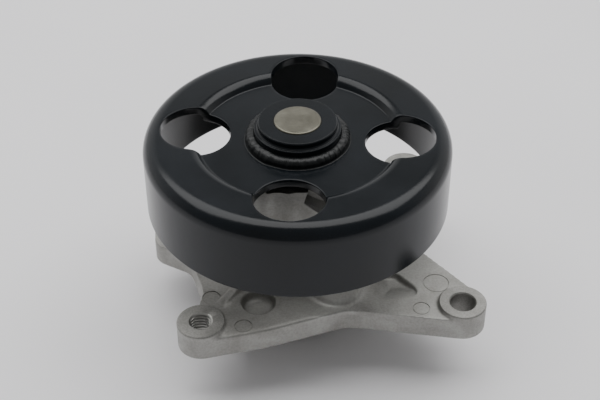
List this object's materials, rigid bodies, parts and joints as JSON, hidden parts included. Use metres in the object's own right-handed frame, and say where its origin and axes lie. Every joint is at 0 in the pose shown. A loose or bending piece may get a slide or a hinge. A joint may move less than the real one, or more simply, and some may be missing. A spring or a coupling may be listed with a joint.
{
  "type": "water pump",
  "caption": "Engine coolant pump: cast aluminium housing with bolt arms, sealed shaft bearing, face seal, bladed impeller and pressed steel belt pulley.",
  "frame": {"origin": "where the shaft axis meets the housing's mounting face", "axes": "+Z along the shaft towards the pulley; the two front arms point to -Y; +X to their right"},
  "size_m": [0.1149, 0.1055, 0.0752],
  "materials": {
    "die_cast_aluminium": "as cast, fine grain",
    "black_coated_steel": "black electrocoat, satin",
    "shaft_steel": "ground",
    "bearing_steel": "ground",
    "spring_steel": "drawn wire",
    "stainless_sheet": "pressed sheet",
    "impeller_steel": "pressed and oiled",
    "brass_sheet": "pressed sheet",
    "seal_rubber": "moulded",
    "cage_plastic": "moulded",
    "carbon_graphite": "lapped carbon graphite",
    "seat_ceramic": "lapped"
  },
  "bodies": {
    "pump_body": {"housing": "die_cast_aluminium", "bearing_outer_ring": "bearing_steel", "front_bearing_seal": "seal_rubber", "rear_bearing_seal": "seal_rubber", "seal_cup": "brass_sheet", "seal_bellows": "seal_rubber", "seal_spring": "spring_steel"},
    "rotor": {"pump_shaft": "shaft_steel", "pulley_hub": "black_coated_steel", "hub_weld": "black_coated_steel", "pulley": "black_coated_steel", "slinger": "stainless_sheet", "seal_sleeve": "stainless_sheet", "seat_boot": "seal_rubber", "seat_ring": "seat_ceramic", "impeller": "impeller_steel", "impeller_bush": "impeller_steel"},
    "ball_row": {"bearing_balls": "bearing_steel", "ball_cage": "cage_plastic"},
    "roller_row": {"bearing_rollers": "bearing_steel", "roller_cage": "cage_plastic"},
    "seal_head": {"carbon_ring": "carbon_graphite", "carbon_ring_holder": "brass_sheet"}
  },
  "joints": [
    {"name": "shaft_spin", "type": "hinge", "parent": "pump_body", "child": "rotor", "pos_m": [0, 0, 0], "axis": [0, 0, 1], "continuous": true},
    {"name": "ball_row_spin", "type": "hinge", "parent": "pump_body", "child": "ball_row", "pos_m": [0, 0, 0], "axis": [0, 0, 1], "continuous": true},
    {"name": "roller_row_spin", "type": "hinge", "parent": "pump_body", "child": "roller_row", "pos_m": [0, 0, 0], "axis": [0, 0, 1], "continuous": true},
    {"name": "seal_face_travel", "type": "slide", "parent": "pump_body", "child": "seal_head", "axis": [0, 0, 1], "range_m": [0, 0.0015], "deforming": ["seal_bellows", "seal_spring"]}
  ],
  "couplings": [
    {"joint": "ball_row_spin", "follows": "shaft_spin", "ratio": 0.362},
    {"joint": "roller_row_spin", "follows": "shaft_spin", "ratio": 0.4}
  ]
}
